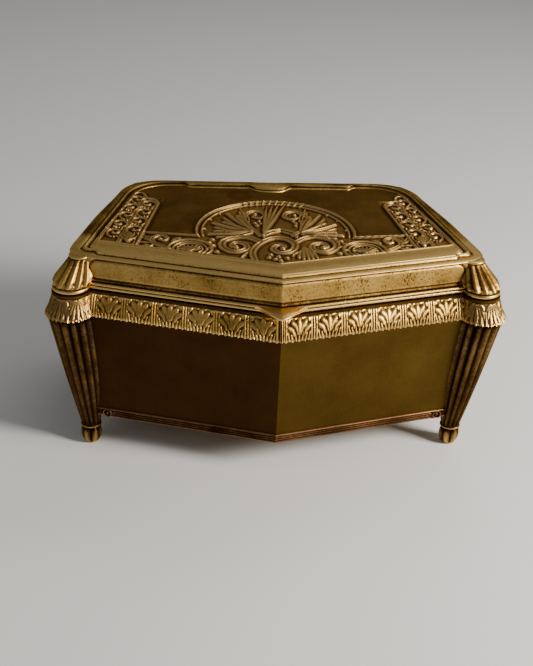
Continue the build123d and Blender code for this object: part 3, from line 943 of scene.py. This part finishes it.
def make_frieze(index, material):
    """Cast strip of leaves and reeds over one wall."""
    cols, rows, ragged_rows = 420, 36, 4
    _, _, normal, _ = edge_frame(index)
    low_line, high_line = outline(*WALL_HIGH), outline(7.4)
    span = np.hypot(*(high_line[(index + 1) % 5] - high_line[index]))
    t = np.linspace(0, 1, cols)
    distance = t * span
    near = {0: distance, 4: span - distance}.get(index, np.full(cols, span))
    middle = 0.7 + ACANTHUS_PERIOD / 2 if index in FRONT_EDGES else span / 2
    phase = span - middle if index == 4 else middle
    scallop = 0.55 * np.abs(np.cos(5 * math.pi * (((distance - phase) / ACANTHUS_PERIOD) % 1.0)))
    table = []
    for row, up in enumerate(np.linspace(0, 1, rows)):
        height = frieze_relief(distance, up, near, phase - ACANTHUS_PERIOD / 2)
        out = 0.15 + 0.35 * math.sin(math.pi * up) + height * smooth_step((1.02 - up) / 0.06)
        xy = along_side(low_line + (high_line - low_line) * up, index, t) + normal * out[:, None]
        z = FRIEZE_LOW_Z - 0.3 + (FRIEZE_HIGH_Z - FRIEZE_LOW_Z + 0.3) * up
        table.append(np.column_stack([xy, z - scallop * max(1 - row / ragged_rows, 0)]))
    inner_line = outline(5.9, 5.9 if index in FRONT_EDGES else 5.4)
    back_low = outline(*(value - 0.9 for value in WALL_HIGH))
    for line, z in ((inner_line, FRIEZE_HIGH_Z - 0.02), (back_low, FRIEZE_LOW_Z + 0.02)):
        table.append(np.column_stack([along_side(line, index, t), np.full(cols, z)]))
    piece = closed_strip(f"frieze_cast_{PANEL_NAMES[index]}", table, material, sharp_deg=70)
    return paint_wear(piece, 0.75, 3, 8)


ROUNDEL_PLACE = 8.9


def base_relief(along, up, length, index):
    """Height of the reeded foot moulding, with a roundel where it meets a leg."""
    relief = Relief(along, np.full(len(along), up))
    at_leg = (index != 0, index != 4)
    for reed in range(4):
        level = 0.55 + 1.1 * reed
        near = 12.4 - 0.3 * (3 - reed)
        bend = [(near - 0.7, 0.0), (near - 0.5, 0.7 * level), (near + 0.4, level)]
        start = bend if at_leg[0] and reed < 3 else [(0.0, level)]
        end = [(length - x, z) for x, z in bend[::-1]] if at_leg[1] and reed < 3 else [(length, level)]
        relief.stroke(start + end, 0.56, 0.7)
    for beside_leg, place in zip(at_leg, (ROUNDEL_PLACE, length - ROUNDEL_PLACE)):
        if beside_leg:
            relief.arc((place, 1.7), 2.0, 0, 360, 0.5, 0.85)
            relief.bead((place, 1.7), 0.95, 0.6)
    return relief.h


def make_base_moulding(index, material):
    """Reeded strip along the foot of a wall."""
    inset, fine, coarse, ends = 5.2, 0.22, 1.5, 13.5
    _, along, normal, _ = edge_frame(index)
    lines = outline(*WALL_LOW)
    begin = lines[index] + along * (0.0 if index == 0 else inset)
    end = lines[(index + 1) % 5] - along * (0.0 if index == 4 else inset)
    length = float(np.hypot(*(end - begin)))
    reach = spaced([(0, ends, fine), (ends, length - ends, coarse), (length - ends, length, fine)])
    mitre = np.zeros(len(reach))
    if index in FRONT_EDGES:
        near, sign = (reach, -1) if index == 0 else (length - reach, 1)
        mitre = np.clip(1 - near / 1.5, 0, 1) * PROW_SLOPE * sign
    line = begin + np.outer(reach, along)
    rows = []
    for up in np.linspace(0, BASE_HIGH_Z - BASE_LOW_Z, 30):
        out = 0.1 + base_relief(reach, up, length, index)
        xy = line + normal * out[:, None] + np.outer(mitre * out, along)
        rows.append(np.column_stack([xy, np.full(len(reach), BASE_LOW_Z + up)]))
    for out, z in ((-0.3, BASE_HIGH_Z + 0.15), (-2.0, BASE_HIGH_Z), (-2.0, BASE_LOW_Z)):
        rows.append(np.column_stack([line + normal * out, np.full(len(reach), z)]))
    piece = closed_strip(f"base_reeds_{PANEL_NAMES[index]}", rows, material, sharp_deg=70)
    return paint_wear(piece, 1.0, 2, 6)


LIP_HALF_WIDTH = 11.6
LIP_REACH = 7.4
LIP_FRONT_Y = -72.4
LIP_TOP_Z = 86.2
LIP_EDGE_Z = 84.5
LIP_LOW_Z = 83.7


def make_thumb_lip(material):
    """Ogee tongue under the prow, thinner and rounded towards its edge."""
    cols, rows = 61, 15
    x = np.linspace(-LIP_HALF_WIDTH, LIP_HALF_WIDTH, cols)
    share = np.abs(x) / LIP_HALF_WIDTH
    rounded = np.hypot(x, 4.0)
    back = prow_line(rounded, 6.0)
    sweep = (1 + np.cos(math.pi * share ** 1.15)) / 2
    front = np.maximum(prow_line(rounded, 7.95) - LIP_REACH * sweep * (1 - 0.25 * share), LIP_FRONT_Y)
    table = []
    for t in np.linspace(0, 1, rows):
        z = LIP_TOP_Z - 1.7 * t ** 2.2 * sweep - 0.25 * (1 - sweep)
        table.append(np.column_stack([x, back + (front - back) * t, z]))
    for drop in (0.2, 0.45, 0.7):
        y = front + 0.5 * (drop - 0.2) ** 2 - 0.05
        table.append(np.column_stack([x, y, LIP_EDGE_Z + 1.45 * (1 - sweep) - drop]))
    for t in np.linspace(0.9, 0, 5):
        table.append(np.column_stack([x, back + (front - back) * t, np.full(cols, LIP_LOW_Z)]))
    piece = closed_strip("thumb_lip_ogee", table, material, sharp_deg=60)
    paint_wear(piece, 0.3, 3, 4)
    _, wear_and_light = read_wear_and_light(piece)
    store_wear_and_light(piece, wear_and_light + 0.28)
    return piece


# ---------------------------------------------------------------- lining

def pad_grid(offsets, low_z, high_z, crown, name, material):
    """Pentagonal cushion whose top swells between its edges."""
    across, back_share = np.meshgrid(np.linspace(-1, 1, 90), np.linspace(0, 1, 64))
    x, y = prow_grid(across, back_share, *offsets)
    rim = np.minimum(np.minimum(1 - np.abs(across), back_share), 1 - back_share)
    puff = crown * (1 - (1 - np.clip(rim / 0.12, 0, 1)) ** 2.2)
    return closed_slab(name, x, y, high_z - abs(crown) + puff, low_z, material)


def puff_with_cloth(piece, cap_mm):
    """Inflates a pad with cloth pressure, keeps the moves under a cap, and applies it."""
    remesh = piece.modifiers.new("remesh", "REMESH")
    remesh.mode = "VOXEL"
    remesh.voxel_size = 2.2 * MM
    even = piece.modifiers.new("even", "SMOOTH")
    even.factor = 0.5
    even.iterations = 8
    apply_modifiers(piece)
    rest = mesh_arrays(piece.data)[0]
    cloth = piece.modifiers.new("cloth", "CLOTH")
    cloth.settings.use_pressure = True
    cloth.settings.uniform_pressure_force = 4
    cloth.settings.effector_weights.gravity = 0
    cloth.settings.quality = 4
    scene = bpy.context.scene
    for step in range(1, 15):
        scene.frame_set(step)
    apply_modifiers(piece)
    scene.frame_set(1)
    move = mesh_arrays(piece.data)[0] - rest
    size = np.linalg.norm(move, axis=1)
    move *= np.minimum(1.0, cap_mm / np.maximum(size, 1e-6))[:, None]
    set_points(piece, rest + move)
    finer = piece.modifiers.new("finer", "SUBSURF")
    finer.levels = finer.render_levels = 1
    apply_modifiers(piece)


def apply_modifiers(piece):
    bpy.context.view_layer.update()
    graph = bpy.context.evaluated_depsgraph_get()
    mesh = bpy.data.meshes.new_from_object(piece.evaluated_get(graph))
    old = piece.data
    piece.modifiers.clear()
    piece.data = mesh
    bpy.data.meshes.remove(old)


def make_wall_lining(index, material):
    """Padded velvet panel against one wall, from the floor pad to just under the rim."""
    cols, rows = 70, 34
    low_z, height = 20.6, 60.0
    low = outline(WALL_LOW[0] - WALL - 0.4, WALL_LOW[1] - WALL - 0.4)
    high = outline(5.1)
    t = np.linspace(0, 1, cols)
    _, _, normal, _ = edge_frame(index)
    table = []
    for up in [*np.linspace(0, 1, rows), 1.0, 0.0]:
        xy = along_side(low + (high - low) * up, index, t)
        if len(table) < rows:
            rim = np.minimum(np.minimum(t, 1 - t) / 0.06, min(up, 1 - up) / 0.08)
            puff = 0.35 + 1.0 * (1 - (1 - np.clip(rim, 0, 1)) ** 2)
            xy = xy - normal * puff[:, None]
        table.append(np.column_stack([xy, np.full(cols, low_z + height * up)]))
    return closed_strip(f"lining_{PANEL_NAMES[index]}", table, material, sharp_deg=60)


# ---------------------------------------------------------------- materials

def node_material(name):
    material = bpy.data.materials.new(name)
    material.use_nodes = True
    tree = material.node_tree
    shader = tree.nodes["Principled BSDF"]
    return material, tree, shader


def noise(tree, coords, scale, detail=4.0, roughness=0.6):
    node = tree.nodes.new("ShaderNodeTexNoise")
    node.inputs["Scale"].default_value = scale
    node.inputs["Detail"].default_value = detail
    node.inputs["Roughness"].default_value = roughness
    tree.links.new(coords, node.inputs["Vector"])
    return node.outputs["Fac"]


def maths(tree, operation, first, second):
    """Maths node on two values, each a number or the output of another node."""
    node = tree.nodes.new("ShaderNodeMath")
    node.operation = operation
    for slot, value in enumerate((first, second)):
        if isinstance(value, (int, float)):
            node.inputs[slot].default_value = value
        else:
            tree.links.new(value, node.inputs[slot])
    return node.outputs[0]


def centred(tree, value, gain):
    """A value about 0.5, moved to 0 and scaled."""
    return maths(tree, "MULTIPLY", maths(tree, "SUBTRACT", value, 0.5), gain)


def add_bump(tree, shader, height, strength, distance):
    bump = tree.nodes.new("ShaderNodeBump")
    bump.inputs["Strength"].default_value = strength
    bump.inputs["Distance"].default_value = distance
    tree.links.new(height, bump.inputs["Height"])
    tree.links.new(bump.outputs["Normal"], shader.inputs["Normal"])


def ramp(tree, factor, stops):
    """Colour ramp with stops given as (position, colour)."""
    node = tree.nodes.new("ShaderNodeValToRGB")
    elements = node.color_ramp.elements
    while len(elements) < len(stops):
        elements.new(0.5)
    for element, (position, colour) in zip(elements, stops):
        element.position = position
        element.color = (*colour, 1.0)
    tree.links.new(factor, node.inputs["Fac"])
    return node.outputs["Color"]


# In metres, as the shader reads places.
STAIN_CENTRE = (-0.016, 0.0415, 0.098)
STAIN_RADIUS = 0.0075
STAIN_COLOUR = (0.075, 0.020, 0.008, 1.0)


def stain_amount(tree, coords):
    """One faint oval stain with an uneven, darker edge."""
    away = tree.nodes.new("ShaderNodeVectorMath")
    away.operation = "DISTANCE"
    away.inputs[1].default_value = STAIN_CENTRE
    tree.links.new(coords, away.inputs[0])
    ragged = centred(tree, noise(tree, coords, 260.0, 4.0, 0.55), 0.55)
    reach = maths(tree, "ADD", maths(tree, "DIVIDE", away.outputs["Value"], STAIN_RADIUS), ragged)
    amounts = ((0.0, 0.35), (0.72, 0.75), (0.9, 0.6), (1.0, 0.0))
    return ramp(tree, reach, [(place, (amount,) * 3) for place, amount in amounts])


def pit_mask(tree, coords):
    """1 in small scattered pits of the casting, 0 elsewhere."""
    cells = tree.nodes.new("ShaderNodeTexVoronoi")
    cells.inputs["Scale"].default_value = 900.0
    cells.inputs["Randomness"].default_value = 1.0
    tree.links.new(coords, cells.inputs["Vector"])
    patch = noise(tree, coords, 120.0, 4.0, 0.65)
    limit = maths(tree, "MULTIPLY", maths(tree, "SUBTRACT", patch, 0.30), 1.25)
    return maths(tree, "LESS_THAN", cells.outputs["Distance"], limit)


def gilt(name, dark, mid, bright, rough, pits=0.0, worn=True, blotch=0.22, grain=0.12, stained=False):
    """Aged gilt brass: brown patina in the recesses, worn bright metal on the ridges."""
    material, tree, shader = node_material(name)
    coords = tree.nodes.new("ShaderNodeTexCoord").outputs["Object"]
    broad = noise(tree, coords, 55.0, 5.0)
    fine = noise(tree, coords, 900.0, 3.0)
    wear_and_light = 0.5
    if worn:
        # The stored value shows how worn a point is, and on the lid frame also painted light and painted shade.
        attribute = tree.nodes.new("ShaderNodeAttribute")
        attribute.attribute_name = "wear_and_light"
        wear_and_light = attribute.outputs["Fac"]
    level = maths(tree, "ADD", centred(tree, broad, blotch * 2), centred(tree, fine, grain * 2))
    level = maths(tree, "ADD", level, wear_and_light)
    height = maths(tree, "ADD", maths(tree, "MULTIPLY", fine, 0.5), maths(tree, "MULTIPLY", broad, 0.6))
    if pits > 0:
        hole = pit_mask(tree, coords)
        level = maths(tree, "SUBTRACT", level, maths(tree, "MULTIPLY", hole, 0.11 * pits))
        height = maths(tree, "SUBTRACT", height, maths(tree, "MULTIPLY", hole, 0.5 * pits))
    darkest = tuple(0.35 * c for c in dark)
    colour = ramp(tree, level, [(0.22, darkest), (0.40, dark), (0.52, mid), (0.78, bright)])
    if stained:
        mix = tree.nodes.new("ShaderNodeMix")
        mix.data_type = "RGBA"
        mix.inputs["B"].default_value = STAIN_COLOUR
        tree.links.new(stain_amount(tree, coords), mix.inputs["Factor"])
        tree.links.new(colour, mix.inputs["A"])
        colour = mix.outputs["Result"]
    tree.links.new(colour, shader.inputs["Base Color"])
    spread = tree.nodes.new("ShaderNodeMapRange")
    for socket, value in (("From Min", 0.3), ("From Max", 0.75), ("To Min", rough[0]), ("To Max", rough[1])):
        spread.inputs[socket].default_value = value
    tree.links.new(level, spread.inputs["Value"])
    tree.links.new(spread.outputs["Result"], shader.inputs["Roughness"])
    shader.inputs["Metallic"].default_value = 1.0
    shader.inputs["Specular Tint"].default_value = (1.0, 0.76, 0.48, 1.0)
    add_bump(tree, shader, height, 0.35, 0.12 * MM)
    return material


def velvet(name, deep, light):
    """Short pile with a soft sheen."""
    material, tree, shader = node_material(name)
    coords = tree.nodes.new("ShaderNodeTexCoord").outputs["Object"]
    nap = noise(tree, coords, 85.0, 5.0)
    pile = noise(tree, coords, 2600.0, 2.0, 0.5)
    mixed = maths(tree, "ADD", maths(tree, "MULTIPLY", nap, 0.75), maths(tree, "MULTIPLY", pile, 0.35))
    colour = ramp(tree, mixed, [(0.32, deep), (0.72, light)])
    tree.links.new(colour, shader.inputs["Base Color"])
    shader.inputs["Roughness"].default_value = 0.85
    shader.inputs["Sheen Weight"].default_value = 0.8
    shader.inputs["Sheen Roughness"].default_value = 0.45
    shader.inputs["Sheen Tint"].default_value = (0.9, 0.45, 0.45, 1.0)
    add_bump(tree, shader, mixed, 0.4, 0.2 * MM)
    return material


def floor_material():
    material, _, shader = node_material("floor_paint")
    shader.inputs["Base Color"].default_value = (0.72, 0.71, 0.69, 1.0)
    shader.inputs["Roughness"].default_value = 0.8
    return material


# ---------------------------------------------------------------- stage

CAMERA_PLACE = (-0.0337, -0.4902, 0.3005)
CAMERA_RIGHT = Vector((0.99835, -0.04601, 0.03452))
CAMERA_UP = Vector((-0.00885, 0.47020, 0.88253))
CAMERA_LENS = 59.46


def add_camera():
    """Camera fitted to the photo."""
    data = bpy.data.cameras.new("photo_camera")
    data.sensor_fit = "AUTO"
    data.sensor_width = 36.0
    data.lens = CAMERA_LENS
    data.clip_start = 0.01
    camera = bpy.data.objects.new("photo_camera", data)
    turn = Matrix((CAMERA_RIGHT, CAMERA_UP, CAMERA_RIGHT.cross(CAMERA_UP))).transposed()
    camera.matrix_world = Matrix.Translation(CAMERA_PLACE) @ turn.to_4x4()
    bpy.context.scene.collection.objects.link(camera)
    bpy.context.scene.camera = camera


def add_area_light(name, place, target, size, energy, colour=(1, 1, 1)):
    data = bpy.data.lights.new(name, "AREA")
    data.shape = "RECTANGLE"
    data.size, data.size_y = size
    data.energy = energy
    data.color = colour
    light = bpy.data.objects.new(name, data)
    light.location = place
    aim = Vector(target) - Vector(place)
    light.rotation_euler = aim.to_track_quat("-Z", "Y").to_euler()
    bpy.context.scene.collection.objects.link(light)


def add_stage():
    reach = 3.0
    corners = [(x * reach, y * reach, 0) for x, y in ((-1, -1), (1, -1), (1, 1), (-1, 1))]
    mesh = bpy.data.meshes.new("floor")
    mesh.from_pydata(corners, [], [(0, 1, 2, 3)])
    mesh.materials.append(floor_material())
    floor = bpy.data.objects.new("floor", mesh)
    floor.location.z = -0.0002
    bpy.context.scene.collection.objects.link(floor)
    world = bpy.data.worlds.new("studio")
    world.use_nodes = True
    background = world.node_tree.nodes["Background"]
    background.inputs["Color"].default_value = (0.86, 0.86, 0.88, 1.0)
    background.inputs["Strength"].default_value = 0.25
    bpy.context.scene.world = world
    add_area_light("key", (0.74, -0.37, 0.46), (0.0, -0.02, 0.06), (0.28, 0.28), 17.0, (1.0, 0.96, 0.90))
    add_area_light("fill", (-0.9, -0.5, 0.8), (0.0, 0.0, 0.05), (0.8, 0.8), 0.6, (0.96, 0.97, 1.0))
    add_area_light("back", (0.5, 0.7, 1.1), (0.0, 0.0, 0.08), (0.7, 0.4), 3.0)


# ---------------------------------------------------------------- assembly

def place(piece, body, slot, *nodes):
    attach(piece, body)
    if nodes:
        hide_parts(*nodes)
    return piece


def dress(node, material):
    """Gives a CAD piece that keeps its own shape a better material."""
    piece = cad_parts[node]
    piece.data.materials.clear()
    piece.data.materials.append(material)


def build():
    relief_gilt = gilt("gilt_relief", (0.10, 0.046, 0.010), (0.40, 0.235, 0.056), (0.76, 0.51, 0.18),
                       (0.50, 0.32))
    lid_gilt = gilt("gilt_lid", (0.075, 0.036, 0.008), (0.32, 0.188, 0.043), (0.70, 0.47, 0.16), (0.50, 0.34),
                    pits=1.0)
    field_gilt = gilt("gilt_field", (0.062, 0.028, 0.008), (0.27, 0.142, 0.040), (0.70, 0.45, 0.165),
                      (0.42, 0.30), blotch=0.08, grain=0.05, stained=True)
    leg_gilt = gilt("gilt_legs", (0.014, 0.006, 0.002), (0.052, 0.025, 0.008), (0.50, 0.31, 0.10),
                    (0.46, 0.32), blotch=0.12, grain=0.08)
    wall_gilt = gilt("gilt_walls", (0.050, 0.027, 0.005), (0.088, 0.051, 0.010), (0.17, 0.105, 0.022),
                     (0.50, 0.38), worn=False, blotch=0.11, grain=0.05)
    # Darker copy of the wall gilt: painted shade on the left walls, which face away from the key light.
    shaded_wall_gilt = gilt("gilt_walls_painted_shade", (0.026, 0.010, 0.003), (0.046, 0.019, 0.006), (0.10, 0.045, 0.014),
                      (0.54, 0.42), worn=False, blotch=0.11, grain=0.05)
    base_gilt = gilt("gilt_base", (0.016, 0.006, 0.002), (0.050, 0.022, 0.008), (0.30, 0.155, 0.065),
                     (0.5, 0.36))
    rim_gilt = gilt("gilt_rim", (0.03, 0.014, 0.003), (0.07, 0.035, 0.006), (0.16, 0.09, 0.02), (0.6, 0.45),
                    worn=False, blotch=0.2, grain=0.08)
    plain_brass = gilt("hinge_metal", (0.08, 0.045, 0.012), (0.26, 0.165, 0.05), (0.5, 0.34, 0.12),
                       (0.5, 0.35), worn=False, blotch=0.2, grain=0.08)
    lining = velvet("lining_velvet", (0.10, 0.006, 0.012), (0.33, 0.03, 0.05))

    place(make_lid_frame(lid_gilt), "lid", "gilt_satin", "lid_shell")
    place(make_field(field_gilt), "lid", "gilt_relief")
    place(make_thumb_lip(relief_gilt), "lid", "gilt_satin", "thumb_lip")
    for row, side, sign in CORNERS:
        place(make_bell(row, side, sign, relief_gilt), "lid", "gilt_relief", f"lid_corner_{row}_{side}")
        place(make_leg(row, side, sign, leg_gilt), "casket", "gilt_relief", f"leg_{row}_{side}")
    for index, name in enumerate(PANEL_NAMES):
        place(make_frieze(index, relief_gilt), "casket", "gilt_relief", f"frieze_{name}")
        place(make_base_moulding(index, base_gilt), "casket", "gilt_satin", f"base_moulding_{name}")
        # The left walls get the darker copy, as painted shade.
        dress(f"wall_{name}", shaded_wall_gilt if "left" in name else wall_gilt)
        panel = make_wall_lining(index, lining)
        place(panel, "casket", "lining_velvet", *(["lining_walls"] if index == 0 else []))
    for node in ("hinge_knuckles_body", "hinge_knuckles_lid", "hinge_pin", "floor_plate", "body_rim"):
        dress(node, plain_brass if node != "body_rim" else rim_gilt)

    floor_pad = pad_grid((3.4, -1.6, -1.6), 18.9, 21.2, 1.2, "floor_pad", lining)
    puff_with_cloth(floor_pad, 1.1)
    place(floor_pad, "casket", "lining_velvet", "lining_floor_pad")
    lid_pad = pad_grid((1.0, 1.0, 1.0), 94.9, 93.0, -1.2, "lid_pad", lining)
    puff_with_cloth(lid_pad, 0.6)
    place(lid_pad, "lid", "lining_velvet", "lid_lining_pad")


add_camera()
add_stage()
build()
